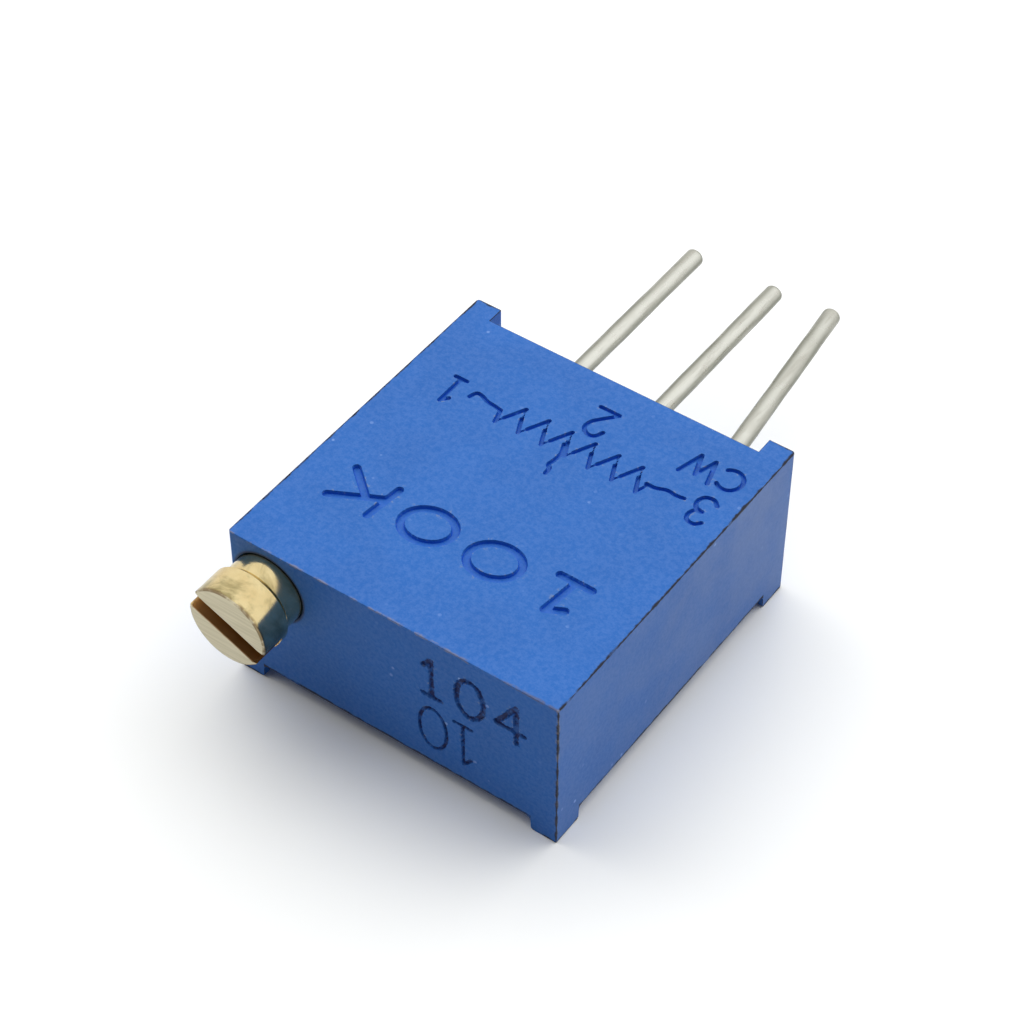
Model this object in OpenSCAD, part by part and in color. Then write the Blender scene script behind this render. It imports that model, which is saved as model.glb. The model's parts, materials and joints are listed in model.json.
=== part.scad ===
// Square multi-turn trimmer potentiometer, lying on the feet of its back.
// The origin is on the plane of the feet, under the middle of the body.
// +Z leaves the marked face, +Y points along the pins, and the screw faces -Y.

/* [Housing] */
// Width of the housing over its two side walls
body_w = 9.53; // [9.3:0.01:10.6]
// Length of the housing from the screw face to the ends of the ribs
body_l = 10.03; // [9.9:0.01:11.2]
// Thickness of the housing from the marked face to the soles
body_t = 4.83; // [4.7:0.01:5.6]
// Thickness of the side walls and of the pin wall at the open back
side_wall = 0.74; // [0.65:0.01:0.8]
// Thickness of the marked wall
face_wall = 0.6; // [0.5:0.01:0.7]
// Thickness of the wall that carries the screw
screw_wall = 1.1; // [1:0.01:1.2]
// Width of the ledge that the substrate seats against
ledge_w = 0.25; // [0.15:0.01:0.3]
// Length of the ribs that stand out past the pin wall
rib_l = 0.5; // [0.3:0.01:0.7]
// Width of the ribs
rib_w = 0.74; // [0.5:0.01:1]
// Width of the feet
foot_w = 0.74; // [0.5:0.01:1]
// Length of the feet
foot_l = 0.93; // [0.6:0.01:1.2]
// Height of the feet
foot_h = 0.44; // [0.3:0.01:0.5]

/* [Adjusting screw] */
// Distance of the screw axis from the side face
screw_inset = 1.15; // [1.13:0.01:1.3]
// Distance of the screw axis below the marked face
screw_depth = 1.27; // [1.2:0.01:1.35]
// Diameter of the slotted head
head_d = 2.25; // [2.1:0.01:2.26]
// Length of the slotted head
head_l = 0.95; // [0.8:0.01:1.2]
// Length of neck that shows between the head and the housing
neck_show = 0.635; // [0.4:0.005:1]
// Diameter of the neck that runs in the bore
neck_d = 2; // [1.9:0.01:2.08]
// Width of the screwdriver slot
slot_w = 0.56; // [0.4:0.01:0.7]
// Depth of the screwdriver slot
slot_depth = 0.7; // [0.4:0.01:0.75]
// Angle of the slot, falling to the right
slot_angle = 24.8; // [0:0.1:90]
// Distance of the slot from the screw axis
slot_shift = 0.085; // [0:0.005:0.15]
// Radial running clearance of the neck in the bore
bore_clear = 0.03; // [0.02:0.005:0.06]
// Diameter of the screw at the bottom of the seal and clip grooves
groove_d = 1.26; // [1.2:0.01:1.34]
// Diameter of the journal at the inner end
journal_d = 0.68; // [0.5:0.01:0.8]

/* [Worm drive] */
// Number of teeth on the worm wheel
wheel_teeth = 32; // [28:1:36]
// Outer diameter of the worm thread
worm_d = 1.6; // [1.5:0.01:1.66]
// Length of the worm thread
worm_l = 4.1; // [3:0.1:4.6]
// Face width of the worm wheel
rim_t = 0.9; // [0.6:0.01:1]
// Play between the flanks of thread and teeth
backlash = 0.12; // [0.1:0.01:0.16]
// Gap between the wheel and the inner walls
wheel_gap = 0.17; // [0.1:0.01:0.3]
// Diameter of the wheel hub
hub_d = 2.6; // [2.4:0.01:3]
// Diameter of the post that the wheel turns on
post_d = 1.1; // [0.8:0.01:1.3]

/* [Element] */
// Thickness of the ceramic substrate
substrate_t = 0.6; // [0.4:0.01:0.7]
// Thickness of the printed films
film_t = 0.04; // [0.03:0.005:0.06]
// Mean radius of the resistive track
track_r = 2.05; // [1.9:0.01:2.15]
// Width of the resistive track
track_w = 0.6; // [0.4:0.01:0.7]
// Mean radius of the collector ring
ring_r = 0.8; // [0.7:0.01:0.85]
// Width of the collector ring
ring_w = 0.5; // [0.3:0.01:0.6]
// Height of the wiper plate above the films
wiper_rise = 0.455; // [0.35:0.005:0.5]
// Thickness of the wiper spring
wiper_t = 0.08; // [0.05:0.005:0.1]
// Width of one wiper finger
finger_w = 0.14; // [0.1:0.01:0.16]

/* [Pins] */
// Spacing of the pins
pin_pitch = 2.54; // [2.4:0.01:2.6]
// Diameter of the pins
pin_d = 0.51; // [0.45:0.01:0.55]
// Depth of the pin axes below the marked face
pin_depth = 2.41; // [2.35:0.01:2.5]
// Length of the pins beyond the ribs
pin_l = 7.08; // [4:0.01:10]
// Length of pin that is soldered to the substrate
pin_lap = 0.75; // [0.6:0.01:0.8]
// Width of the flattened end that is soldered
flat_w = 0.6; // [0.52:0.01:0.64]
// Thickness of the flattened end that is soldered
flat_h = 0.36; // [0.3:0.01:0.4]
// Sideways bend of the third pin
pin_bend = 6.1; // [1:0.1:12]

/* [Hidden] */
$fn = 64;
// Overrun of a cut past the face that it opens
over = 0.5;
// Sideways fit of pieces that are dropped into the housing
drop_fit = 0.02;
// Clearance between curved faces that meet
curve_fit = 0.01;

// Faces of the housing
x1 = body_w / 2;
y0 = -body_l / 2;
y1 = body_l / 2;
pin_face = y1 - rib_l;
face_in = body_t - face_wall;
// The pocket at the back takes the substrate, and the ledges narrow the chamber above it
pocket_x = x1 - side_wall;
pocket_y0 = y0 + screw_wall;
pocket_y1 = pin_face - side_wall;
chamber_x = pocket_x - ledge_w;
chamber_y0 = pocket_y0 + ledge_w;
chamber_y1 = pocket_y1 - ledge_w;

// Heights of the element, which hangs on the pins
pin_z = body_t - pin_depth;
film_top = pin_z - pin_d / 2;
film_z = film_top - film_t;
substrate_z = film_z - substrate_t;
seal_recess = 0.12;
seal_z = foot_h + seal_recess;
edge_gap = 0.1;

// Screw axis and the stations along it
screw_x = -x1 + screw_inset;
screw_z = body_t - screw_depth;
neck_r = neck_d / 2;
bore_r = neck_r + bore_clear;
head_y = y0 - neck_show - head_l;
seal_d = 0.37;
seal_gap = 0.015;
seal_groove_w = seal_d + 2 * seal_gap;
seal_groove_y = y0 + 0.3;
clip_t = 0.24;
clip_play = 0.02;
clip_y = pocket_y0;
collar_l = 0.25;
collar_y = clip_y + clip_t + clip_play;
channel_fit = 0.08;
channel_r = worm_d / 2 + channel_fit;
journal_fit = 0.04;
journal_l = 0.3;
journal_y = pocket_y1 + journal_l;

// The wheel fills the chamber between the worm and the far walls
span_x = chamber_x - wheel_gap - screw_x - worm_d / 2;
span_y = chamber_y1 - chamber_y0 - 2 * wheel_gap;
gear_module = min(span_x / wheel_teeth, span_y / (wheel_teeth + 2));
root_ratio = 1.25;
tooth_pitch = PI * gear_module;
wheel_r = gear_module * wheel_teeth / 2;
wheel_tip = wheel_r + gear_module;
wheel_root = wheel_r - root_ratio * gear_module;
worm_tip = worm_d / 2;
worm_pitch = worm_tip - gear_module;
worm_root = worm_pitch - root_ratio * gear_module;
tooth_w = (tooth_pitch - backlash) / 2;
flank_angle = 20;
lead_angle = atan(tooth_pitch / (2 * PI * worm_pitch));
wheel_x = screw_x + worm_pitch + wheel_r;
wheel_y = (chamber_y0 + chamber_y1) / 2;
rim_z = screw_z - rim_t / 2;
run_gap = 0.06;
hub_z = film_top + wiper_rise + wiper_t;
hub_top = face_in - run_gap;
post_fit = 0.03;
post_z = hub_z + 0.3;
peg_d = 0.28;
peg_head_d = 0.46;
peg_head_t = 0.08;
peg_r = 0.85;
rest_angle = -90;
// Half the travel of the wheel, for 25 turns of the screw
travel = 360 * 12.5 / wheel_teeth;
lug_half = 8;
stop_slack = 1;
stop_half = 180 - travel - lug_half - stop_slack;
lug_r = wheel_root - 0.65;
lug_w = 0.6;
stop_h = (face_in - rim_z - rim_t) / 2;
lug_lap = stop_h / 2;

// Printed film outlines
track_spare = 5;
track_end = travel + track_spare;
lap_angle = 10;
route_gap = 0.1;
pad_w = 0.9;
joint_y = chamber_y1 - edge_gap / 2;
pin_y = joint_y - pin_lap;
pad_y0 = pin_y - edge_gap;
pad_y1 = joint_y;
strip_w = 0.5;
contact_gap = 0.02;
finger_gap = 0.08;
finger_l = 0.9;
finger_tip = 0.18;
lance_l = 0.72;
arm_w = 0.28;
plate_r = hub_d / 2 - 0.05;

// Pins and their slots
pin_r = pin_d / 2;
slot_fit = 0.2;
pin_slot_r = pin_r + slot_fit;
tip_round = 0.09;
bend_r = 1;
pin_end = y1 + pin_l;
flat_show = 0.12;
flat_y = pin_face + flat_show;

// A block given by two opposite corners
module block(a, b) {
    translate(a) cube(b - a);
}

// A cylinder along Y from ya to yb
module rod_y(x, z, r, ya, yb) {
    translate([x, ya, z]) rotate([-90, 0, 0]) cylinder(h = yb - ya, r = r);
}

// A flat sector of a ring about the wheel axis, with angles counted from the rest direction
module ring_sector(r0, r1, a0, a1, h) {
    rotate([0, 0, rest_angle + a0]) rotate_extrude(angle = a1 - a0) translate([r0, 0]) square([r1 - r0, h]);
}

// Slot of a pin through the pin wall, open at the back, less a fit all round
module pin_slot(x, fit, ya, yb) {
    r = pin_slot_r - fit;
    rod_y(x, pin_z, r, ya, yb);
    block([x - r, ya, seal_z], [x + r, yb, pin_z]);
}

module feet() {
    for (sx = [-1, 1]) {
        translate([sx * (x1 - foot_w / 2), 0, 0]) {
            translate([-foot_w / 2, y0, 0]) cube([foot_w, foot_l, foot_h]);
            translate([-foot_w / 2, y1 - foot_l, 0]) cube([foot_w, foot_l, foot_h]);
        }
    }
}

module housing_shell() {
    block([-x1, y0, foot_h], [x1, pin_face, body_t]);
    for (side = [-x1, x1 - rib_w]) {
        translate([side, pin_face - over, foot_h]) cube([rib_w, rib_l + over, body_t - foot_h]);
    }
    feet();
}

// Post that the wheel turns on, and the arc that stops its lug at each end of the travel
module wheel_post() {
    translate([wheel_x, wheel_y, 0]) {
        translate([0, 0, post_z]) cylinder(h = body_t - face_wall / 2 - post_z, d = post_d);
        translate([0, 0, face_in - stop_h]) {
            ring_sector(lug_r, lug_r + lug_w, 180 - stop_half, 180 + stop_half, stop_h + face_wall / 2);
        }
    }
}

module housing() {
    color("royalblue") {
        difference() {
            housing_shell();
            block([-pocket_x, pocket_y0, -over], [pocket_x, pocket_y1, film_z]);
            block([-chamber_x, chamber_y0, 0], [chamber_x, chamber_y1, face_in]);
            rod_y(screw_x, screw_z, bore_r, y0 - over, pocket_y0);
            rod_y(screw_x, screw_z, channel_r, pocket_y0, chamber_y1);
            rod_y(screw_x, screw_z, journal_d / 2 + journal_fit, chamber_y1 - over, journal_y + edge_gap);
            clip_slot();
            for (i = [-1:1]) {
                pin_slot(i * pin_pitch, 0, chamber_y1 - over, pin_face + over);
                translate([i * pin_pitch - pin_slot_r, chamber_y1 - over, 0]) {
                    cube([2 * pin_slot_r, pin_face - chamber_y1 + 2 * over, seal_z]);
                }
            }
        }
        wheel_post();
    }
}

// Way that the clip takes from the open back up to the screw
module clip_slot() {
    r = clip_r + drop_fit;
    block([screw_x - r, clip_y, 0], [screw_x + r, clip_y + clip_t + 2 * clip_play, screw_z]);
}

clip_r = worm_d / 2 + 0.05;
clip_leg = 0.45;
clip_tail = screw_z - film_z - drop_fit;
clip_bore_r = groove_d / 2 + 0.02;

// U-shaped clip, whose legs stand up on either side of the groove
module screw_retainer() {
    color("silver") translate([screw_x, clip_y + clip_t, screw_z]) rotate([90, 0, 0]) linear_extrude(clip_t) {
        difference() {
            union() {
                circle(clip_r);
                translate([-clip_r, -clip_tail]) square([2 * clip_r, clip_tail]);
            }
            circle(clip_bore_r);
            translate([-clip_bore_r, 0]) square([2 * clip_bore_r, clip_leg]);
            translate([-clip_r, clip_leg]) square([2 * clip_r, clip_r]);
        }
    }
}

module shaft_o_ring() {
    r = groove_d / 2 + seal_gap + seal_d / 2;
    color("dimgray") translate([screw_x, seal_groove_y + seal_groove_w / 2, screw_z]) rotate([90, 0, 0]) {
        rotate_extrude() translate([r, 0]) circle(d = seal_d, $fn = 32);
    }
}

// Trapezium of the thread at turn t: flank corners as [radius, axial offset]
steps_per_turn = 16;
thread_turns = worm_l / tooth_pitch;
run_out_turns = 0.5;
root_lap = 0.04;
function thread_grow(t) = min(1, t / run_out_turns, (thread_turns - t) / run_out_turns);
function thread_ring(t) =
    let (
        rise = worm_root + (worm_tip - worm_root) * max(0.02, thread_grow(t)),
        wide = tooth_w / 2 + (worm_pitch - worm_root) * tan(flank_angle),
        top = wide - (rise - worm_root) * tan(flank_angle),
        low = worm_root - root_lap,
        phase = 360 * (t - thread_turns / 2),
        along = tooth_pitch * (t - thread_turns / 2)
    )
    [for (q = [[low, -wide], [rise, -top], [rise, top], [low, wide]])
        [q[0] * cos(phase), along + q[1], -q[0] * sin(phase)]];

// Right-hand worm thread about Y, with a crest facing +X at the middle of its length
module worm_thread() {
    rings = round(thread_turns * steps_per_turn);
    points = [for (i = [0:rings]) each thread_ring(thread_turns * i / rings)];
    sides = [for (i = [0:rings - 1], k = [0:3])
        let (a = 4 * i + k, b = 4 * i + (k + 1) % 4)
        each [[a, b, b + 4], [a, b + 4, a + 4]]];
    ends = [[3, 2, 1, 0], [for (k = [0:3]) 4 * rings + k]];
    polyhedron(points, concat(sides, ends));
}

module adjustment_screw() {
    groove_r = groove_d / 2;
    core_r = worm_root;
    worm_y = wheel_y - worm_l / 2;
    color("goldenrod") difference() {
        union() {
            rod_y(screw_x, screw_z, head_d / 2, head_y, head_y + head_l);
            rod_y(screw_x, screw_z, neck_r, head_y + head_l, seal_groove_y);
            rod_y(screw_x, screw_z, groove_r, seal_groove_y, seal_groove_y + seal_groove_w);
            rod_y(screw_x, screw_z, neck_r, seal_groove_y + seal_groove_w, clip_y - clip_play);
            rod_y(screw_x, screw_z, groove_r, clip_y - clip_play, collar_y);
            rod_y(screw_x, screw_z, worm_tip, collar_y, collar_y + collar_l);
            rod_y(screw_x, screw_z, core_r, collar_y + collar_l, chamber_y1 - edge_gap);
            rod_y(screw_x, screw_z, journal_d / 2, chamber_y1 - edge_gap, journal_y);
            translate([screw_x, wheel_y, screw_z]) worm_thread();
        }
        translate([screw_x, head_y, screw_z]) rotate([0, slot_angle, 0]) {
            translate([-head_d, -over, -slot_w / 2 - slot_shift]) cube([2 * head_d, slot_depth + over, slot_w]);
        }
    }
}

// Involute tooth outline: half angle of the tooth at radius r
base_r = wheel_r * cos(flank_angle);
function inv_angle(r) =
    let (a = acos(base_r / r))
    tan(a) * 180 / PI - a;
function half_tooth(r) = (tooth_w / 2 / wheel_r) * 180 / PI + inv_angle(wheel_r) - inv_angle(max(r, base_r));
function tooth_side(side) = [for (r = [wheel_root - root_lap, base_r, wheel_r, wheel_tip])
    [r * cos(half_tooth(r)), side * r * sin(half_tooth(r))]];

module wheel_tooth(angle) {
    left = tooth_side(1);
    right = tooth_side(-1);
    rotate([0, 0, angle]) rotate([-lead_angle, 0, 0]) linear_extrude(2 * rim_t, center = true) {
        polygon(concat(right, [for (i = [3:-1:0]) left[i]]));
    }
}

// Teeth are cut off flush with the faces of the rim
module wheel_teeth_ring() {
    intersection() {
        translate([0, 0, -rim_t / 2]) cylinder(h = rim_t, r = wheel_tip + edge_gap);
        union() {
            for (i = [0:wheel_teeth - 1]) {
                wheel_tooth(180 + (i + 0.5) * 360 / wheel_teeth);
            }
        }
    }
}

module worm_wheel() {
    web_cut = 0.25;
    color("ivory") translate([wheel_x, wheel_y, 0]) {
        difference() {
            union() {
                translate([0, 0, screw_z]) wheel_teeth_ring();
                translate([0, 0, rim_z]) cylinder(h = rim_t, r = wheel_root);
                translate([0, 0, hub_z]) cylinder(h = hub_top - hub_z, d = hub_d);
                ring_lug();
            }
            translate([0, 0, post_z - run_gap]) cylinder(h = body_t, r = post_d / 2 + post_fit);
            difference() {
                translate([0, 0, rim_z - over]) cylinder(h = over + web_cut, r = wheel_root - 0.45);
                translate([0, 0, rim_z - 2 * over]) cylinder(h = 3 * over, d = hub_d);
            }
        }
        for (sx = [-1, 1]) {
            translate([sx * peg_r, 0, hub_z - wiper_t]) cylinder(h = 2 * wiper_t, d = peg_d);
            translate([sx * peg_r, 0, hub_z - wiper_t - peg_head_t]) cylinder(h = peg_head_t, d = peg_head_d);
        }
    }
}

// Lug that meets the stop arc at the ends of the travel
module ring_lug() {
    translate([0, 0, rim_z + rim_t / 2]) {
        ring_sector(lug_r, lug_r + lug_w, -lug_half, lug_half, rim_t / 2 + stop_h + lug_lap);
    }
}

// Spring finger in the XZ plane: flat root, falling blade, touching bend and upturned tip
module finger(length) {
    drop = wiper_rise - contact_gap;
    path = [[-length, 0], [-length + 0.16, 0], [-0.06, -drop], [0.06, -drop], [finger_tip, -drop + 0.14]];
    translate([0, finger_w / 2, 0]) rotate([90, 0, 0]) linear_extrude(finger_w) {
        polygon(concat(path, [for (i = [4:-1:0]) path[i] + [0, wiper_t]]));
    }
}

// Fingers side by side about radius r, touching on the rest direction
module finger_row(r, count, length) {
    pitch = finger_w + finger_gap;
    for (i = [0:count - 1]) {
        translate([0, -r + (i - (count - 1) / 2) * pitch, 0]) finger(length);
    }
}

module wiper_contact() {
    window = 2 * finger_w + 3 * finger_gap;
    color("gold") translate([wheel_x, wheel_y, film_top + wiper_rise]) {
        difference() {
            union() {
                cylinder(h = wiper_t, r = plate_r);
                translate([-finger_l - arm_w + 0.02, -track_r - track_w / 2, 0]) {
                    cube([arm_w, track_r + track_w / 2, wiper_t]);
                }
            }
            translate([-lance_l + 0.04, ring_r - window / 2, -over]) cube([lance_l + 0.24, window, 2 * over]);
            for (sx = [-1, 1]) {
                translate([sx * peg_r, 0, -over]) cylinder(h = 2 * over, r = peg_d / 2 + curve_fit);
            }
        }
        finger_row(track_r, 3, finger_l);
        mirror([0, 1, 0]) finger_row(ring_r, 2, lance_l);
    }
}

module ceramic_substrate() {
    color("whitesmoke") block(
        [-pocket_x + drop_fit, pocket_y0 + drop_fit, substrate_z],
        [pocket_x - drop_fit, pocket_y1 - drop_fit, film_z]
    );
}

module resistive_track() {
    color("#2b2623") translate([wheel_x, wheel_y, film_z]) {
        ring_sector(track_r - track_w / 2, track_r + track_w / 2, -track_end, track_end, film_t);
    }
}

module pad(x) {
    block([x - pad_w / 2, pad_y0, film_z], [x + pad_w / 2, pad_y1, film_top]);
}

// Point at radius r and angle a from the rest direction, in the frame of the body
function track_point(r, a) = [wheel_x + r * cos(rest_angle + a), wheel_y + r * sin(rest_angle + a)];

// Printed strip from point p to point q
module strip(p, q) {
    way = q - p;
    translate([p[0], p[1], film_z]) rotate([0, 0, atan2(way[1], way[0])]) {
        translate([-strip_w / 2, -strip_w / 2, 0]) cube([norm(way) + strip_w, strip_w, film_t]);
    }
}

// Conductor that laps the track's end, leaves it outwards and runs to the pad of its pin
module end_conductor(side) {
    r0 = track_r - track_w / 2;
    r1 = track_r + track_w / 2;
    x = side * pin_pitch;
    middle = side * (track_end + lap_angle / 2);
    turn = track_point(r1 + route_gap + strip_w / 2, middle);
    color("lightgray") difference() {
        union() {
            translate([wheel_x, wheel_y, film_z]) {
                ring_sector(r0, r1, middle - lap_angle / 2, middle + lap_angle / 2, film_t);
            }
            strip(track_point(track_r, middle), turn);
            strip(turn, [x, pad_y0 + strip_w / 2]);
            pad(x);
        }
        translate([wheel_x, wheel_y, film_z - over]) {
            ring_sector(r0, r1, -track_end, track_end, 2 * over);
        }
    }
}

module collector_conductor() {
    color("lightgray") {
        translate([wheel_x, wheel_y, film_z]) difference() {
            cylinder(h = film_t, r = ring_r + ring_w / 2);
            translate([0, 0, -over]) cylinder(h = 2 * over, r = ring_r - ring_w / 2);
        }
        translate([0, 0, film_z]) linear_extrude(film_t) {
            polygon([
                [wheel_x - strip_w / 2, wheel_y + ring_r], [wheel_x + strip_w / 2, wheel_y + ring_r],
                [strip_w / 2, pad_y0 + edge_gap], [-strip_w / 2, pad_y0 + edge_gap]
            ]);
        }
        pad(0);
    }
}

// Straight wire from ya to yb with a blunt tip, about the Y axis
module wire(ya, yb) {
    rod_y(0, 0, pin_r, ya, yb - tip_round);
    translate([0, yb - tip_round, 0]) rotate([-90, 0, 0]) {
        cylinder(h = tip_round, r1 = pin_r, r2 = pin_r - tip_round);
    }
}

// Flattened end of a pin, which lies on its pad
module pin_flat() {
    block([-flat_w / 2, pin_y, -pin_r], [flat_w / 2, flat_y, flat_h - pin_r]);
}

module straight_pin(x) {
    color("gainsboro") translate([x, 0, pin_z]) {
        pin_flat();
        wire(flat_y, pin_end);
    }
}

// The third pin turns towards the others where it leaves the pin wall
module bent_pin(x) {
    color("gainsboro") translate([x, 0, pin_z]) {
        pin_flat();
        translate([-bend_r, pin_face, 0]) {
            rotate_extrude(angle = pin_bend) translate([bend_r, 0]) circle(pin_r);
            rotate([0, 0, pin_bend]) translate([bend_r, 0, 0]) wire(0, (pin_end - pin_face) / cos(pin_bend));
        }
    }
}

// Solder fillet on the pad, hollow where the flattened end lies in it
module solder_joint(x) {
    half_w = pad_w / 2 - 0.03;
    shoulder = flat_w / 2 + 0.09;
    top = flat_w / 2 + 0.04;
    crest = flat_h + 0.1;
    hollow = flat_w / 2 + curve_fit;
    color("silver") difference() {
        translate([x, joint_y, film_top]) rotate([90, 0, 0]) linear_extrude(joint_y - pin_y) {
            polygon([
                [-half_w, 0], [half_w, 0], [shoulder, crest / 2],
                [top, crest], [-top, crest], [-shoulder, crest / 2]
            ]);
        }
        block(
            [x - hollow, pin_y - over, film_top - over],
            [x + hollow, joint_y + over, film_top + flat_h + curve_fit]
        );
    }
}

// Potting under the substrate, with a tongue around each pin in its slot
module epoxy_seal() {
    tongue_y = pocket_y1 - drop_fit;
    color("midnightblue") difference() {
        union() {
            block([-pocket_x, pocket_y0, seal_z], [pocket_x, pocket_y1, substrate_z]);
            intersection() {
                clip_slot();
                block([-x1, pocket_y0, seal_z], [0, pocket_y1, substrate_z]);
            }
            for (i = [-1:1]) {
                pin_slot(i * pin_pitch, curve_fit, tongue_y, pin_face - edge_gap / 2);
            }
        }
        for (i = [-1:1]) {
            translate([i * pin_pitch - flat_w / 2, pocket_y0, film_top]) cube([flat_w, body_l, flat_h]);
        }
    }
}

housing();
adjustment_screw();
shaft_o_ring();
screw_retainer();
worm_wheel();
wiper_contact();
ceramic_substrate();
resistive_track();
collector_conductor();
end_conductor(-1);  // end_conductor_1
end_conductor(1);  // end_conductor_3
straight_pin(-pin_pitch);  // terminal_pin_1
straight_pin(0);  // terminal_pin_2
bent_pin(pin_pitch);  // terminal_pin_3
solder_joint(-pin_pitch);  // solder_joint_1
solder_joint(0);  // solder_joint_2
solder_joint(pin_pitch);  // solder_joint_3
epoxy_seal();
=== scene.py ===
import json
import math

import bmesh
import bpy
import numpy as np
from mathutils import Matrix, Vector


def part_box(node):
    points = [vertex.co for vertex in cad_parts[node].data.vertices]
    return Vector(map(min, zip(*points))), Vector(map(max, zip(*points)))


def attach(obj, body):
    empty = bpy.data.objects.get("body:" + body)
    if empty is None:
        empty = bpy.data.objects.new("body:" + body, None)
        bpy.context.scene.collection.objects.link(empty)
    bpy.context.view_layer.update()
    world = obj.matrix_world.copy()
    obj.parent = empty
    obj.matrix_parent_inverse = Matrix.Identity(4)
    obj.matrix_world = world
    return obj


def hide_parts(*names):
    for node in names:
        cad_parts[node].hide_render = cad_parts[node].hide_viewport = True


# Square multi-turn trimmer on its back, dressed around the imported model.
# Every length in the dictionaries is in millimetres unless its note says otherwise.
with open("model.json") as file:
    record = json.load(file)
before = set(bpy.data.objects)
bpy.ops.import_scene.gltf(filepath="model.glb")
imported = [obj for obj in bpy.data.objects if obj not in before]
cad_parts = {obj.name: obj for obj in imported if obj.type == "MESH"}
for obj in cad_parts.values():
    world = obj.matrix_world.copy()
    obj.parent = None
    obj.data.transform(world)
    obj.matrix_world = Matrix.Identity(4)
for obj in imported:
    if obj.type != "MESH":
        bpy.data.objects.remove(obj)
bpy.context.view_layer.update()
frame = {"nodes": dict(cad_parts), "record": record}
mm = 0.001
print("frame loaded:", len(frame["nodes"]), "nodes")


def boxOf(node):
    low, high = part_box(node)
    return np.array(low) / mm, np.array(high) / mm


# Camera, floor and sky

viewSpec = {
    "azimuth": 35.579,     # degrees round from the screw face
    "elevation": 46.327,   # degrees above the floor
    "roll": 0.029,         # degrees
    "distance": 68.228,
    "aim": (-0.562, 0.643, 3.199),
    "lens": 97.66,         # on a 36 mm sensor
}

stageSpec = {
    "floorSize": 900.0,
    "floorTint": (0.80, 0.81, 0.81),   # for light that the floor throws back
    "floorSeen": (0.99, 1.0, 0.99),    # for the camera
    "floorRough": 0.35,
    "seenWhite": (1.0, 1.0, 1.0),
    "skyFloor": 0.03,                  # light from everywhere, under the lobes
}

skyLobes = {
    # direction it comes from, how narrow it is (power of the cosine), strength
    "overhead": ((0.0, 0.0, 1.0), 6.0, 1.0),
    "behind": ((0.0, 1.0, 0.35), 2.0, 2.0),
    "highLeft": ((-0.8, 0.0, 0.8), 12.0, 3.0),
    "highRight": ((0.5, 0.6, 0.9), 12.0, 1.25),
}


def addCamera():
    camera = bpy.data.cameras.new("camera")
    camera.lens = viewSpec["lens"]
    camera.sensor_width = 36.0
    camera.clip_start = 0.001
    camera.clip_end = 10.0
    holder = bpy.data.objects.new("camera", camera)
    bpy.context.scene.collection.objects.link(holder)
    turn, lift = math.radians(viewSpec["azimuth"]), math.radians(viewSpec["elevation"])
    back = Vector((math.sin(turn) * math.cos(lift), -math.cos(turn) * math.cos(lift), math.sin(lift)))
    roll = Matrix.Rotation(math.radians(viewSpec["roll"]), 4, "Z").to_quaternion()
    holder.rotation_mode = "QUATERNION"
    holder.rotation_quaternion = back.to_track_quat("Z", "Y") @ roll
    holder.location = (Vector(viewSpec["aim"]) + back * viewSpec["distance"]) * mm
    bpy.context.scene.camera = holder


addCamera()
print("camera placed")


# Shader helpers

def feed(tree, socket, value):
    if isinstance(value, bpy.types.NodeSocket):
        tree.links.new(value, socket)
    elif isinstance(value, (tuple, list)) and socket.type == "RGBA" and len(value) == 3:
        socket.default_value = (*value, 1.0)
    else:
        socket.default_value = value


def addNode(tree, kind, settings=None, inputs=None):
    node = tree.nodes.new(kind)
    for key, value in (settings or {}).items():
        setattr(node, key, value)
    for key, value in (inputs or {}).items():
        feed(tree, node.inputs[key], value)
    return node


def mathOf(tree, operation, *values):
    node = addNode(tree, "ShaderNodeMath", {"operation": operation})
    for socket, value in zip(node.inputs, values):
        feed(tree, socket, value)
    return node.outputs[0]


def product(tree, first, second):
    return mathOf(tree, "MULTIPLY", first, second)


def rampOf(tree, value, low, high, start=0.0, stop=1.0):
    node = addNode(tree, "ShaderNodeMapRange", {"interpolation_type": "SMOOTHSTEP"})
    given = {"Value": value, "From Min": low, "From Max": high, "To Min": start, "To Max": stop}
    for key, item in given.items():
        feed(tree, node.inputs[key], item)
    return node.outputs[0]


def blendOf(tree, factor, first, second, mode="MIX"):
    node = addNode(tree, "ShaderNodeMix", {"data_type": "RGBA", "blend_type": mode})
    for place, item in ((0, factor), (6, first), (7, second)):
        feed(tree, node.inputs[place], item)
    return node.outputs[2]


def mixValue(tree, factor, first, second):
    node = addNode(tree, "ShaderNodeMix", {"data_type": "FLOAT"})
    for place, item in ((0, factor), (2, first), (3, second)):
        feed(tree, node.inputs[place], item)
    return node.outputs[0]


def noiseOf(tree, vector, scale, detail=2.0, rough=0.5, warp=0.0):
    inputs = {"Vector": vector, "Scale": scale, "Detail": detail, "Roughness": rough, "Distortion": warp}
    return addNode(tree, "ShaderNodeTexNoise", None, inputs).outputs["Fac"]


def objectPlace(tree):
    return addNode(tree, "ShaderNodeTexCoord").outputs["Object"]


def axisParts(tree, vector):
    node = addNode(tree, "ShaderNodeSeparateXYZ", None, {0: vector})
    return node.outputs[0], node.outputs[1], node.outputs[2]


def attributeOf(tree, name):
    return addNode(tree, "ShaderNodeAttribute", {"attribute_name": name}).outputs["Fac"]


def newGroup(name, inputs, outputs):
    tree = bpy.data.node_groups.new(name, "ShaderNodeTree")
    for label, value in inputs:
        tree.interface.new_socket(label, in_out="INPUT", socket_type="NodeSocketFloat").default_value = value
    for label in outputs:
        tree.interface.new_socket(label, in_out="OUTPUT", socket_type="NodeSocketFloat")
    return tree, tree.nodes.new("NodeGroupInput"), tree.nodes.new("NodeGroupOutput")


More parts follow.
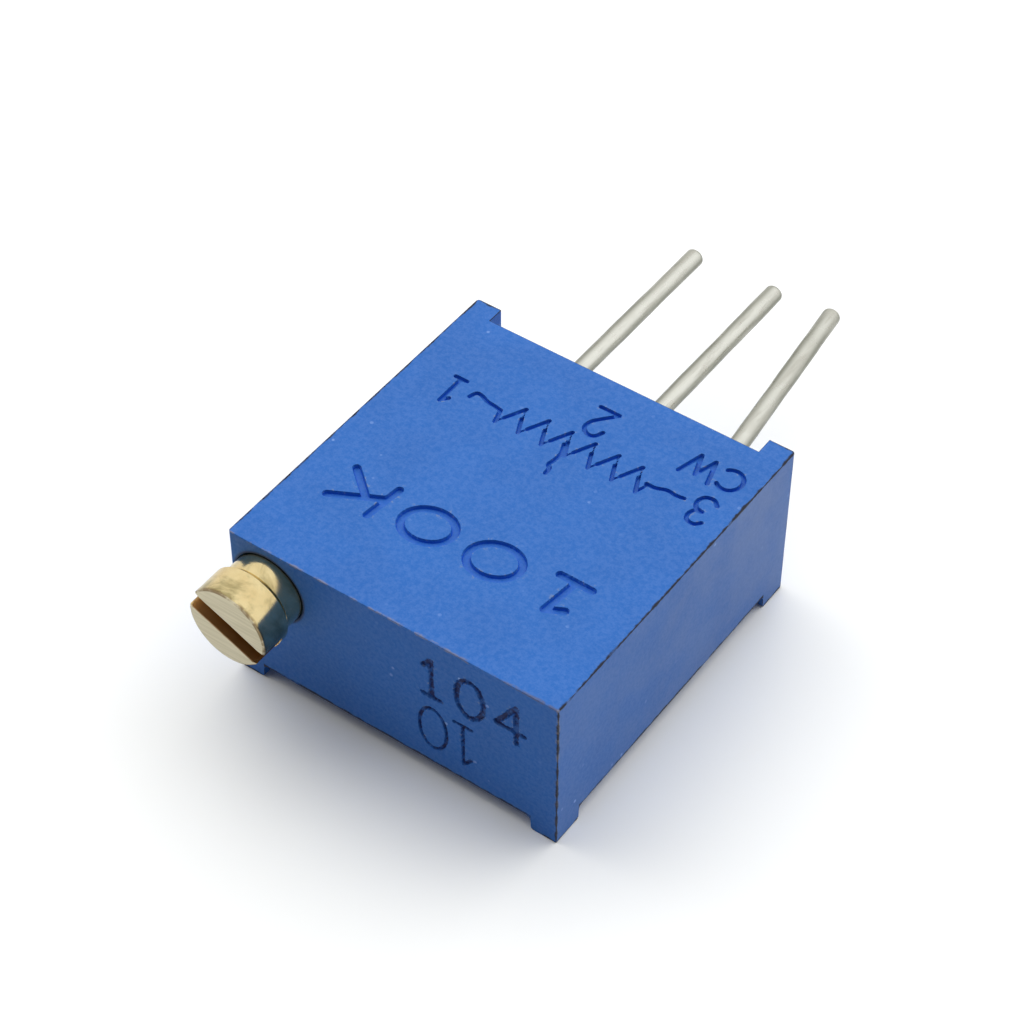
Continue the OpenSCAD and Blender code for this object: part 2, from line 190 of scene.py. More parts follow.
def useGroup(tree, group, **values):
    node = addNode(tree, "ShaderNodeGroup", {"node_tree": group})
    for key, value in values.items():
        feed(tree, node.inputs[key], value)
    return node


# Shared effects

def grainGroup():  # Height: fine pitting; Tone: slow unevenness, both about 0 to 1
    tree, given, result = newGroup("surfaceGrain", (("Fine", 9000.0), ("Broad", 500.0)), ("Height", "Tone"))
    place = objectPlace(tree)
    tree.links.new(noiseOf(tree, place, given.outputs["Fine"], 3.0, 0.6), result.inputs["Height"])
    tree.links.new(noiseOf(tree, place, given.outputs["Broad"], 3.0, 0.55), result.inputs["Tone"])
    return tree


def speckGroup():  # Mask: small round specks in a share of the cells of a Voronoi pattern
    inputs = (("Scale", 1500.0), ("Share", 0.1), ("Radius", 0.2))
    tree, given, result = newGroup("scatteredSpecks", inputs, ("Mask",))
    place = objectPlace(tree)
    cells = addNode(tree, "ShaderNodeTexVoronoi", {"feature": "F1"}, {"Vector": place})
    tree.links.new(given.outputs["Scale"], cells.inputs["Scale"])
    chance = addNode(tree, "ShaderNodeSeparateColor", None, {0: cells.outputs["Color"]})
    inner = product(tree, given.outputs["Radius"], 0.4)
    dot = rampOf(tree, cells.outputs["Distance"], given.outputs["Radius"], inner)
    picked = mathOf(tree, "LESS_THAN", chance.outputs[0], given.outputs["Share"])
    size = product(tree, dot, chance.outputs[1])
    tree.links.new(product(tree, size, picked), result.inputs["Mask"])
    return tree


def wearAndLightGroup():  # Mask: a given edge mask broken up by noise, for worn edges, a painted highlight and a painted reflection
    inputs = (("Edge", 0.0), ("Scale", 1500.0), ("Amount", 0.5))
    tree, given, result = newGroup("edgeWearAndLight", inputs, ("Mask",))
    patchy = noiseOf(tree, objectPlace(tree), given.outputs["Scale"], 4.0, 0.65)
    floorLevel = mathOf(tree, "SUBTRACT", 1.0, given.outputs["Amount"])
    top = mathOf(tree, "ADD", floorLevel, 0.16)
    broken = rampOf(tree, patchy, floorLevel, top)
    tree.links.new(product(tree, broken, given.outputs["Edge"]), result.inputs["Mask"])
    return tree


grain = grainGroup()
specks = speckGroup()
wearAndLight = wearAndLightGroup()
print("shared effects built")


def newFinish(name):
    material = bpy.data.materials.new(name)
    material.use_nodes = True
    tree = material.node_tree
    tree.nodes.clear()
    shader = addNode(tree, "ShaderNodeBsdfPrincipled")
    output = addNode(tree, "ShaderNodeOutputMaterial")
    tree.links.new(shader.outputs[0], output.inputs[0])
    return material, tree, shader


def bumpOf(tree, height, strength, distance, normal=None):
    inputs = {"Height": height, "Strength": strength, "Distance": distance * mm}
    if normal is not None:
        inputs["Normal"] = normal
    return addNode(tree, "ShaderNodeBump", None, inputs).outputs[0]


# Finishes

plasticSpec = {
    "blue": (0.013, 0.128, 0.478),
    "deepBlue": (0.010, 0.117, 0.448),
    # groove and grooveDark: painted shade inside the sunk strokes, on top and on the front face, together
    # with their lack of pale dust
    "groove": (0.004, 0.090, 0.550),
    "grooveDark": (0.006, 0.015, 0.100),
    # worn edge lines and a painted shadow ring round the bore
    "wearAndShade": (0.012, 0.016, 0.034),
    # pale on the rubbed top front edge, and a painted highlight on the upright edge by the camera
    "rubbedAndHighlight": (0.300, 0.270, 0.260),
    "earth": (0.060, 0.040, 0.030),
    "chip": (0.230, 0.260, 0.300),
    "dust": (0.30, 0.46, 0.85),
    # painted sheen on the right face
    "film": (0.50, 0.53, 0.57),
    "specular": 0.22,
    "rough": (0.46, 0.56),
    "specks": {"Scale": 2600.0, "Share": 0.40, "Radius": 0.17},
}

# How far the worn lines and the painted highlight reach from their edges, and where the painted shadow ring
# round the bore lies
seamSpec = {
    "narrow": 0.115,
    "topLeft": 0.120,
    "broad": 0.14,
    "topFront": 0.125,         # rubbed, where the others are dark
    "nearUpright": 0.15,       # painted highlight: pale patches on the edge by the camera
    "soft": 0.02,
    "wander": 0.16,
    "boreRing": (1.12, 1.04),  # radii where the painted shadow ring round the screw ends and is full
    "boreBehind": 0.05,
}


def nearSide(tree, coordinate, place, reach):
    # 1 at a plane across an axis, fading to 0 at a distance of reach millimetres
    gap = mathOf(tree, "ABSOLUTE", mathOf(tree, "SUBTRACT", coordinate, place * mm))
    return rampOf(tree, gap, reach * mm, reach * 0.6 * mm)


def seamLine(tree, first, second, reach, wander):
    # 1 beside the edge where two axis planes meet, as far as a reach less the wander
    gaps = [mathOf(tree, "ABSOLUTE", mathOf(tree, "SUBTRACT", value, plane * mm))
            for value, plane in (first, second)]
    gap = mathOf(tree, "ADD", mathOf(tree, "MAXIMUM", *gaps), wander)
    return rampOf(tree, gap, (reach + seamSpec["soft"]) * mm, (reach - seamSpec["soft"]) * mm)


def between(tree, coordinate, low, high):
    above = mathOf(tree, "GREATER_THAN", coordinate, low * mm)
    return product(tree, above, mathOf(tree, "LESS_THAN", coordinate, high * mm))


def seamMask(tree, x, y, z, wander):
    # dark lines along the outer edges, which at foot height leave the feet out
    low, high = boxOf("housing")
    foot, wide, long = low[2] + housingSpec["foot"], housingSpec["cornerWidth"], housingSpec["footLength"]
    left, right, front, back = (x, low[0]), (x, high[0]), (y, low[1]), (y, high[1])
    sole, step, top = (z, low[2]), (z, foot), (z, high[2])
    clearX = between(tree, x, low[0] + wide, high[0] - wide)
    clearY = between(tree, y, low[1] + long, high[1] - long)
    total = 0.0
    for first, second, reach, clear in (
            (right, front, "narrow", None), (right, back, "broad", None), (right, top, "narrow", None),
            (left, top, "topLeft", None), (back, top, "narrow", None), (sole, front, "broad", None),
            (sole, right, "broad", None), (step, front, "broad", clearX), (step, right, "broad", clearY)):
        line = seamLine(tree, first, second, seamSpec[reach], wander)
        total = mathOf(tree, "MAXIMUM", total, line if clear is None else product(tree, line, clear))
    return total


def boreMask(tree, x, z):
    # painted shadow: 1 in a narrow ring round the screw's bore
    low, high = boxOf("adjustment_screw")
    dx = mathOf(tree, "SUBTRACT", x, (low[0] + high[0]) / 2 * mm)
    dz = mathOf(tree, "SUBTRACT", z, (low[2] + high[2]) / 2 * mm)
    squares = mathOf(tree, "ADD", mathOf(tree, "POWER", dx, 2.0), mathOf(tree, "POWER", dz, 2.0))
    outside, full = seamSpec["boreRing"]
    return rampOf(tree, mathOf(tree, "SQRT", squares), outside * mm, full * mm)


def plasticFinish():
    material, tree, shader = newFinish("housing_plastic")
    low, high = boxOf("housing")
    marks, burrs, edge = attributeOf(tree, "groove"), attributeOf(tree, "burr"), attributeOf(tree, "edge")
    skin = useGroup(tree, grain, Fine=16000.0, Broad=420.0)
    place = objectPlace(tree)
    x, y, z = axisParts(tree, place)

    # two blues, a fine mottle and a painted sheen on the right face, stronger towards the back
    tone = rampOf(tree, skin.outputs["Tone"], 0.3, 0.7)
    colour = blendOf(tree, tone, plasticSpec["deepBlue"], plasticSpec["blue"])
    mottle = rampOf(tree, noiseOf(tree, place, 9000.0, 3.0, 0.7), 0.3, 0.7, 0.0, 0.10)
    colour = blendOf(tree, mottle, colour, plasticSpec["dust"])
    blotch = rampOf(tree, noiseOf(tree, place, 700.0, 4.0, 0.6), 0.35, 0.7, 0.55, 1.0)
    backwards = rampOf(tree, y, low[1] * mm, high[1] * mm, 0.11, 0.20)
    film = product(tree, product(tree, nearSide(tree, x, high[0], 0.03), backwards), blotch)
    colour = blendOf(tree, film, colour, plasticSpec["film"])

    # sunk marks, darkened by painted shade inside them as well as by their lack of pale dust, patchy on the
    # front face, and small chips beside them
    front = nearSide(tree, y, low[1], 0.12)
    grooveShade = blendOf(tree, front, plasticSpec["groove"], plasticSpec["grooveDark"])
    patchy = rampOf(tree, noiseOf(tree, place, 5200.0, 3.0, 0.65), 0.38, 0.56, 0.30, 1.0)
    patchy = mathOf(tree, "MAXIMUM", patchy, mathOf(tree, "SUBTRACT", 1.0, front))
    colour = blendOf(tree, product(tree, marks, patchy), colour, grooveShade)
    chips = rampOf(tree, noiseOf(tree, place, 9000.0, 2.0, 0.5), 0.60, 0.70)
    colour = blendOf(tree, product(tree, chips, product(tree, burrs, 0.6)), colour, plasticSpec["chip"])

    # pale specks in clusters
    dots = useGroup(tree, specks, **plasticSpec["specks"])
    clusters = rampOf(tree, noiseOf(tree, place, 480.0, 2.0, 0.5), 0.50, 0.64, 0.08, 0.80)
    colour = blendOf(tree, product(tree, dots.outputs[0], clusters), colour, plasticSpec["dust"])

    # dark broken lines on the edges and a painted shadow ring round the screw
    wander = product(tree, noiseOf(tree, place, 2600.0, 3.0, 0.6), seamSpec["wander"] * mm)
    topFront = seamLine(tree, (z, high[2]), (y, low[1]), seamSpec["topFront"], wander)
    aside = mathOf(tree, "SUBTRACT", 1.0, topFront)
    seams = mathOf(tree, "MAXIMUM", edge, seamMask(tree, x, y, z, wander))
    dark = useGroup(tree, wearAndLight, Edge=product(tree, seams, aside), Scale=900.0, Amount=0.72)
    onFront = mathOf(tree, "LESS_THAN", y, (low[1] + seamSpec["boreBehind"]) * mm)
    bore = product(tree, boreMask(tree, x, z), onFront)
    darkness = mathOf(tree, "MAXIMUM", dark.outputs[0], product(tree, bore, 0.8))
    colour = blendOf(tree, darkness, colour, plasticSpec["wearAndShade"])

    # rubbed patches on the top front edge, browner to the right, and a painted highlight in pale patches on
    # the upright edge by the camera, stronger higher up
    rubbedAndHighlight = useGroup(tree, wearAndLight, Edge=topFront, Scale=2400.0, Amount=0.56)
    earth = rampOf(tree, x, 0.0, high[0] * mm, 0.0, 0.7)
    tan = blendOf(tree, earth, plasticSpec["rubbedAndHighlight"], plasticSpec["earth"])
    colour = blendOf(tree, product(tree, rubbedAndHighlight.outputs[0], 0.55), colour, tan)
    upright = seamLine(tree, (x, high[0]), (y, low[1]), seamSpec["nearUpright"], wander)
    upper = rampOf(tree, z, low[2] * mm, high[2] * mm, 0.15, 0.75)
    pale = useGroup(tree, wearAndLight, Edge=product(tree, upright, upper), Scale=3000.0, Amount=0.52)
    colour = blendOf(tree, product(tree, pale.outputs[0], 0.6), colour, plasticSpec["rubbedAndHighlight"])

    feed(tree, shader.inputs["Base Color"], colour)
    rough = rampOf(tree, skin.outputs["Tone"], 0.2, 0.8, *plasticSpec["rough"])
    feed(tree, shader.inputs["Roughness"], rough)
    shader.inputs["Specular IOR Level"].default_value = plasticSpec["specular"]
    soft = bumpOf(tree, skin.outputs["Height"], 0.35, 0.004)
    feed(tree, shader.inputs["Normal"], bumpOf(tree, skin.outputs["Tone"], 0.25, 0.03, soft))
    return material


brassSpec = {
    "pale": (0.82, 0.68, 0.37),
    "warm": (0.60, 0.41, 0.16),
    "olive": (0.26, 0.22, 0.09),
    "slot": (0.34, 0.130, 0.010),
    "face": (0.66, 0.60, 0.44),
    # rim: a painted dark reflection along the rounded rim of the face
    "rim": (0.16, 0.10, 0.04),
    "faceBand": (0.06, 0.02),   # depths where the brushed face ends and is full
    "sideRough": (0.10, 0.26),
    "faceRough": (0.32, 0.5),
    "slotMetal": 0.65,
}


def brassFinish(screw):
    material, tree, shader = newFinish("screw_brass")
    place = objectPlace(tree)
    x, y, z = axisParts(tree, place)
    bandEnd, bandFull = ((screw["faceY"] + depth) * mm for depth in brassSpec["faceBand"])
    turn = addNode(tree, "ShaderNodeMapping", {"vector_type": "POINT"}, {"Vector": place})
    turn.inputs["Rotation"].default_value = (0.0, math.radians(-screw["slotAngle"]), 0.0)
    turn.inputs["Scale"].default_value = (500.0, 900.0, 16000.0)
    streak = noiseOf(tree, turn.outputs[0], 1.0, 4.0, 0.6)
    rings = addNode(tree, "ShaderNodeMapping", None, {"Vector": place})
    rings.inputs["Scale"].default_value = (700.0, 22000.0, 700.0)
    turned = noiseOf(tree, rings.outputs[0], 1.0, 3.0, 0.6)
    onFace = rampOf(tree, y, bandEnd, bandFull)
    inSlot = attributeOf(tree, "groove")
    patina = useGroup(tree, grain, Fine=5200.0, Broad=1100.0)
    tone = rampOf(tree, patina.outputs["Tone"], 0.35, 0.75)
    colour = blendOf(tree, product(tree, tone, 0.55), brassSpec["pale"], brassSpec["warm"])
    stain = rampOf(tree, noiseOf(tree, place, 900.0, 5.0, 0.62, 0.6), 0.46, 0.66, 0.0, 0.75)
    colour = blendOf(tree, stain, colour, brassSpec["olive"])
    brushed = blendOf(tree, rampOf(tree, streak, 0.36, 0.66), brassSpec["olive"], brassSpec["face"])
    brushed = blendOf(tree, 0.72, brushed, brassSpec["face"])
    colour = blendOf(tree, onFace, colour, brushed)
    # painted reflection: a dark broken line along the rounded rim
    rim = useGroup(tree, wearAndLight, Edge=attributeOf(tree, "rim"), Scale=2200.0, Amount=0.62)
    colour = blendOf(tree, product(tree, rim.outputs[0], 0.8), colour, brassSpec["rim"])
    colour = blendOf(tree, inSlot, colour, brassSpec["slot"])
    feed(tree, shader.inputs["Base Color"], colour)
    feed(tree, shader.inputs["Metallic"], rampOf(tree, inSlot, 0.2, 0.8, 1.0, brassSpec["slotMetal"]))
    sideRough = rampOf(tree, patina.outputs["Tone"], 0.3, 0.8, *brassSpec["sideRough"])
    faceRough = rampOf(tree, streak, 0.3, 0.8, *brassSpec["faceRough"])
    feed(tree, shader.inputs["Roughness"], mixValue(tree, onFace, sideRough, faceRough))
    feed(tree, shader.inputs["Normal"], bumpOf(tree, mixValue(tree, onFace, turned, streak), 0.35, 0.004))
    return material


tinSpec = {
    # bright and side: a painted reflection, bright where the tin faces the camera and darker towards its
    # edges
    "bright": (0.84, 0.84, 0.77),
    "dull": (0.50, 0.49, 0.43),
    "side": (0.28, 0.28, 0.23),   # painted reflection of dark surroundings, towards the edges as seen
}


def tinFinish():
    material, tree, shader = newFinish("tinned_copper")
    film = useGroup(tree, grain, Fine=6500.0, Broad=1500.0)
    place = objectPlace(tree)
    along = addNode(tree, "ShaderNodeMapping", None, {"Vector": place})
    along.inputs["Scale"].default_value = (5200.0, 700.0, 5200.0)
    drawn = noiseOf(tree, along.outputs[0], 1.0, 4.0, 0.6)
    facing = addNode(tree, "ShaderNodeLayerWeight", None, {"Blend": 0.5}).outputs["Facing"]
    # painted reflection: bright facing the camera, darker towards the edges as seen
    colour = blendOf(tree, rampOf(tree, facing, 0.10, 0.55), tinSpec["bright"], tinSpec["side"])
    streaks = mathOf(tree, "MAXIMUM", rampOf(tree, drawn, 0.44, 0.72, 0.0, 0.85),
                     rampOf(tree, film.outputs["Tone"], 0.45, 0.75, 0.0, 0.30))
    colour = blendOf(tree, streaks, colour, tinSpec["dull"])
    feed(tree, shader.inputs["Base Color"], colour)
    shader.inputs["Metallic"].default_value = 1.0
    feed(tree, shader.inputs["Roughness"], rampOf(tree, film.outputs["Tone"], 0.3, 0.7, 0.24, 0.36))
    feed(tree, shader.inputs["Normal"], bumpOf(tree, drawn, 0.35, 0.006))
    return material


def plainFinish(name, low, high, metal, rough):
    material, tree, shader = newFinish(name)
    film = useGroup(tree, grain, Fine=6000.0, Broad=900.0)
    colour = blendOf(tree, rampOf(tree, film.outputs["Tone"], 0.3, 0.7), low, high)
    feed(tree, shader.inputs["Base Color"], colour)
    shader.inputs["Metallic"].default_value = metal
    uneven = rampOf(tree, film.outputs["Height"], 0.3, 0.7, rough - 0.06, rough + 0.06)
    feed(tree, shader.inputs["Roughness"], uneven)
    feed(tree, shader.inputs["Normal"], bumpOf(tree, film.outputs["Height"], 0.4, 0.006))
    return material


# Mesh helpers

def gridFaces(rows, columns, closed=False):
    # quads between neighbouring rows and columns; closed joins the last column to the first
    count = columns if closed else columns - 1
    r, c = np.meshgrid(np.arange(rows - 1), np.arange(count), indexing="ij")
    n = (c + 1) % columns
    below, above = r * columns, (r + 1) * columns
    return np.stack([below + c, below + n, above + n, above + c], -1).reshape(-1, 4)


def meshOf(name, points, faces, values=None):
    mesh = bpy.data.meshes.new(name)
    mesh.from_pydata((np.asarray(points) * mm).tolist(), [], [list(f) for f in np.asarray(faces).tolist()])
    for label, numbers in (values or {}).items():
        layer = mesh.attributes.new(label, "FLOAT", "POINT")
        layer.data.foreach_set("value", np.asarray(numbers, np.float32).ravel())
    mesh.update()
    return mesh


def placePiece(name, mesh, material, body, nodes=(), smoothAngle=40.0):
    piece = bpy.data.objects.new(name, mesh)
    bpy.context.scene.collection.objects.link(piece)
    mesh.materials.clear()
    mesh.materials.append(material)
    if smoothAngle:
        mesh.shade_smooth()
        mesh.set_sharp_from_angle(angle=math.radians(smoothAngle))
    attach(piece, body)
    if nodes:
        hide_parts(*nodes)
    return piece


def tidyMesh(mesh, gap=0.0005):
    # merges doubles closer than gap, drops what that leaves flat and turns the faces outwards
    work = bmesh.new()
    work.from_mesh(mesh)
    bmesh.ops.scale(work, vec=(1 / mm,) * 3, verts=work.verts)
    bmesh.ops.remove_doubles(work, verts=work.verts, dist=gap)
    bmesh.ops.dissolve_degenerate(work, dist=gap / 5, edges=work.edges)
    bmesh.ops.recalc_face_normals(work, faces=work.faces)
    bmesh.ops.scale(work, vec=(mm,) * 3, verts=work.verts)
    work.to_mesh(mesh)
    work.free()
    mesh.update()
    return mesh


# Marks: strokes of a plotter hand, sunk into the plastic

def arcPoints(cx, cy, rx, ry, start, stop, steps=20):
    # an ellipse about (cx, cy), from start to stop in degrees
    turn = np.radians(np.linspace(start, stop, steps))
    return np.stack([cx + rx * np.cos(turn), cy + ry * np.sin(turn)], -1)


def curvePoints(*points, steps=6):
    # Catmull-Rom curve through the points
    p = np.array(points, float)
    p = np.vstack([2 * p[0] - p[1], p, 2 * p[-1] - p[-2]])
    t = np.linspace(0, 1, steps, endpoint=False)[:, None]
    parts = [
        0.5 * (2 * p[i] + (p[i + 1] - p[i - 1]) * t
               + (2 * p[i - 1] - 5 * p[i] + 4 * p[i + 1] - p[i + 2]) * t ** 2
               + (3 * p[i] - p[i - 1] - 3 * p[i + 1] + p[i + 2]) * t ** 3)
        for i in range(1, len(p) - 2)
    ]
    return np.vstack(parts + [p[-2:-1]])


def linePoints(*points):
    return np.array(points, float)


glyphs = {
    "0": [arcPoints(0.5, 0.5, 0.5, 0.5, 0, 360, 28)],
    "1": [linePoints((0.26, 0.80), (0.55, 1.0), (0.55, 0.0)), linePoints((0.22, 0.0), (0.88, 0.0))],
    "2": [curvePoints((0.05, 0.74), (0.22, 0.95), (0.55, 1.0), (0.88, 0.84), (0.84, 0.58), (0.5, 0.32),
                      (0.05, 0.02)),
          linePoints((0.05, 0.0), (1.0, 0.0))],
    "3": [curvePoints((0.06, 0.86), (0.32, 1.0), (0.74, 0.97), (0.9, 0.78), (0.76, 0.58), (0.42, 0.53)),
          curvePoints((0.42, 0.53), (0.82, 0.47), (0.98, 0.26), (0.8, 0.05), (0.36, 0.0), (0.03, 0.14))],
    "4": [linePoints((0.72, 0.0), (0.72, 1.0), (0.0, 0.32), (1.0, 0.32))],
    "C": [arcPoints(0.55, 0.5, 0.5, 0.5, 48, 312, 24)],
    "W": [linePoints((0.0, 1.0), (0.25, 0.0), (0.5, 0.86), (0.75, 0.0), (1.0, 1.0))],
    "K": [linePoints((0.05, 1.0), (0.05, 0.0)), linePoints((0.95, 1.0), (0.05, 0.38)),
          linePoints((0.36, 0.6), (1.0, 0.0))],
}

topMarks = {
    "halfWidth": 0.064,
    "wideHalf": 0.115,     # of the large characters
    "depth": 0.10,
    "lean": 0.016,         # how far the wall of a stroke leans in over its depth
    "wobble": 0.015,
    "cell": 0.034,
    "margin": 0.25,
    "inside": 0.30,        # how much painted shade the floor of a stroke takes, 0 to 1
    "labels": [
        # text, start of the baseline, character cell, advance, slant, wide strokes
        ("1", (-3.06, 2.37), (0.52, 0.92), 0.0, 0.0, False),
        ("2", (0.62, 3.57), (0.58, 0.98), 0.0, 0.0, False),
        ("3", (4.22, 2.50), (0.50, 0.94), 0.0, 0.0, False),
        ("C", (4.35, 3.63), (0.66, 0.70), 0.0, 0.0, False),
        ("W", (3.60, 3.60), (0.82, 0.74), 0.0, 0.0, False),
        ("100K", (3.62, -1.60), (1.36, 1.10), 1.94, 0.12, True),
    ],
    "zigzag": {"turns": 7, "pitch": 0.69, "low": (-1.79, 1.63), "peak": (-1.40, 2.42)},
    "leads": [
        [(-2.81, 1.98), (-2.73, 2.18), (-2.55, 2.17), (-2.35, 2.09), (-2.10, 2.06), (-1.90, 2.03)],
        [(2.42, 2.02), (2.66, 2.02), (2.94, 2.12), (3.20, 2.10), (3.42, 2.13)],
        [(0.05, 1.97), (0.17, 1.66), (0.16, 1.38), (0.13, 1.19), (0.22, 1.09), (0.24, 0.90)],
    ],
}

frontMarks = {
    "halfWidth": 0.085,
    "wideHalf": 0.055,
    "depth": 0.07,
    "lean": 0.03,
    "wobble": 0.26,
    "cell": 0.045,
    "margin": 0.2,
    "inside": 1.0,
    "labels": [
        ("104", (0.76, 2.86), (0.78, 1.26), 1.14, 0.0, False),
    ],
    "turned": [
        ("10", (2.52, 2.42), (0.80, 1.42), 0.92, 0.0, True),
    ],
}


def labelStrokes(labels, direction, spec):
    # direction is 1 for upright text and -1 for text turned by half a turn
    strokes = []
    for text, start, cell, advance, slant, wide in labels:
        half = spec["wideHalf"] if wide else spec["halfWidth"]
        for place, letter in enumerate(text):
            for stroke in glyphs[letter]:
                x = stroke[:, 0] * cell[0] + place * advance + slant * stroke[:, 1] * cell[1]
                y = stroke[:, 1] * cell[1]
                strokes.append((np.stack([start[0] + direction * x, start[1] + direction * y], -1), half))
    return strokes


def topStrokes():
    strokes = labelStrokes(topMarks["labels"], -1, topMarks)
    half, zigzag = topMarks["halfWidth"], topMarks["zigzag"]
    strokes += [(curvePoints(*points), half) for points in topMarks["leads"]]
    step = np.array([zigzag["pitch"], 0.0])
    low, peak = np.array(zigzag["low"]), np.array(zigzag["peak"])
    strokes.append((linePoints(topMarks["leads"][0][-1], low), half))
    for i in range(zigzag["turns"] - 1):
        rise, fall = peak - low, low + step - peak
        start, top, end = low + i * step, peak + i * step, low + (i + 1) * step
        strokes.append((linePoints(start, start + 0.3 * rise), half * 0.45))
        strokes.append((linePoints(start + 0.3 * rise, top), half))
        strokes.append((linePoints(top, top + 0.45 * fall), half * 0.3))
        strokes.append((linePoints(top + 0.42 * fall - (0.03, 0.0), end), half * 0.9))
    last = low + (zigzag["turns"] - 1) * step
    strokes.append((linePoints(last, last + (0.10, 0.32), topMarks["leads"][1][0]), half * 0.7))
    return strokes


def strokeField(x, y, strokes, wobble):
    # distance to the nearest stroke in half widths, made uneven by a sum of waves
    field = np.full(x.shape, 9.0)
    for points, half in strokes:
        for a, b in zip(points[:-1], points[1:]):
            way = b - a
            t = np.clip(((x - a[0]) * way[0] + (y - a[1]) * way[1]) / max(way @ way, 1e-12), 0, 1)
            field = np.minimum(field, np.hypot(x - a[0] - t * way[0], y - a[1] - t * way[1]) / half)
    slow = np.sin(17 * x + 2 * np.sin(23 * y)) * np.sin(19 * y + 2 * np.sin(29 * x))
    uneven = slow + 0.6 * np.sin(41 * x + 37 * y)
    return field + wobble * uneven * (field < 3)


def cutBand(corners, low, high):
    # part of a triangle of (x, y, value) corners whose value lies between low and high
    ring = corners
    for sign, level in ((1, low), (-1, high)):
        kept = []
        for a, b in zip(ring, ring[1:] + ring[:1]):
            if sign * (a[2] - level) >= 0:
                kept.append(a)
            if (a[2] - level) * (b[2] - level) < 0:
                first, last = min(a, b), max(a, b)
                t = (level - first[2]) / (last[2] - first[2])
                kept.append((first[0] + (last[0] - first[0]) * t, first[1] + (last[1] - first[1]) * t, level))
        ring = kept
    return ring


def markedPatch(name, strokes, spec, toSpace):
    # grid over the strokes, cut along the rim and the foot of their walls, sunk between the two in
    # proportion to the distance from the stroke; toSpace puts (x, y, depth) on its face
    every = np.vstack([points for points, half in strokes])
    low, high = every.min(0) - spec["margin"], every.max(0) + spec["margin"]
    counts = np.ceil((high - low) / spec["cell"]).astype(int)
    xs, ys = np.linspace(low[0], high[0], counts[0]), np.linspace(low[1], high[1], counts[1])
    x, y = np.meshgrid(xs, ys)
    field = strokeField(x, y, strokes, spec["wobble"])
    rim, foot = 1.0, 1.0 - spec["lean"] / spec["halfWidth"]
    numbers, corners, faces = {}, [], []

    def corner(point):
        key = (round(point[0], 5), round(point[1], 5))
        if key not in numbers:
            numbers[key] = len(corners)
            corners.append(point)
        return numbers[key]

    for row in range(counts[1] - 1):
        for column in range(counts[0] - 1):
            ring = [(float(x[r, c]), float(y[r, c]), float(field[r, c]))
                    for r, c in ((row, column), (row, column + 1), (row + 1, column + 1), (row + 1, column))]
            values = [p[2] for p in ring]
            if min(values) > rim or max(values) < foot:
                faces.append([corner(p) for p in ring])
                continue
            for triangle in ([ring[0], ring[1], ring[2]], [ring[0], ring[2], ring[3]]):
                for bottom, top in ((-9.0, foot), (foot, rim), (rim, 99.0)):
                    part = [corner(p) for p in cutBand(triangle, bottom, top)]
                    part = [p for p, q in zip(part, part[1:] + part[:1]) if p != q]
                    if len(part) > 2:
                        faces.append(part)
    px, py, value = np.array(corners).T
    share = np.clip((rim - value) / (rim - foot), 0, 1)
    # the groove share is painted shade, rising down each wall towards its foot and set by inside on the floor
    dark = np.where(value < foot - 1e-6, spec["inside"], share)
    near = np.clip(1.9 - value, 0, 1) * (share < 0.5)
    mesh = bpy.data.meshes.new(name)
    mesh.from_pydata(np.stack(toSpace(px, py, share * spec["depth"]), -1).tolist(), [], faces)
    for label, amounts in (("groove", dark), ("burr", near)):
        mesh.attributes.new(label, "FLOAT", "POINT").data.foreach_set("value", amounts.astype(np.float32))
    return mesh


housingSpec = {
    "edgeRound": 0.038,
    "cornerRound": 0.08,
    "footRound": 0.12,
    "foot": 0.44,
    "cornerWidth": 0.74,
    "footLength": 0.93,
    "ribLength": 0.5,
    "onPlane": 0.01,        # how near a face or edge lies to its plane
    "facePlane": 0.002,     # the same for the marked faces
    "innerShare": 1.5,      # corner widths in from the outline where inner walls begin
    "ribZone": 0.6,
    "footInner": 0.05,      # how far inside the outline a foot's inner sides lie at least
    "footZone": 1.2,
    "mergeGap": 0.0005,
    "fineGap": 0.0002,
    "sliver": 0.0001,
}

straight = 0.999            # cosine past which a direction counts as along an axis


def outerPlanes():
    low, high = boxOf("housing")
    corner = high[0] - housingSpec["cornerWidth"]
    return [
        (0, low[0]), (0, high[0]), (1, low[1]), (1, high[1]), (2, low[2]), (2, high[2]),
        (0, -corner), (0, corner), (1, high[1] - housingSpec["ribLength"]), (2, housingSpec["foot"]),
        (1, low[1] + housingSpec["footLength"]), (1, high[1] - housingSpec["footLength"]),
    ]


def isOuter(face, planes, low, high):
    # a face on one of the outer planes, apart from walls deep inside
    centre = face.calc_center_median()
    clear = housingSpec["innerShare"] * housingSpec["cornerWidth"]
    for axis, value in planes:
        if abs(face.normal[axis]) > straight and abs(centre[axis] - value) < housingSpec["onPlane"]:
            inside = all(low[k] + clear < centre[k] < high[k] - clear for k in (0, 1) if k != axis)
            atRibs = centre[1] > high[1] - housingSpec["ribZone"]
            if axis == 2 or value in (low[axis], high[axis]) or not inside or atRibs:
                return True
    return False


def swapFace(work, axis, value, patch):
    # takes the flat face at axis = value out and fills the ring between its outline and the patch
    near = housingSpec["facePlane"]
    flat = [f for f in work.faces
            if abs(f.normal[axis]) > straight and abs(f.calc_center_median()[axis] - value) < near]
    bmesh.ops.delete(work, geom=flat, context="FACES_ONLY")
    rim = [e for e in work.edges if len(e.link_faces) == 1]
    before = set(work.edges)
    work.from_mesh(patch)
    added = [e for e in work.edges if e not in before and len(e.link_faces) == 1]
    normal = Vector((0, 0, 0))
    normal[axis] = 1.0 if value > 0 else -1.0
    bmesh.ops.triangle_fill(work, use_beauty=True, use_dissolve=False, edges=rim + added, normal=normal)


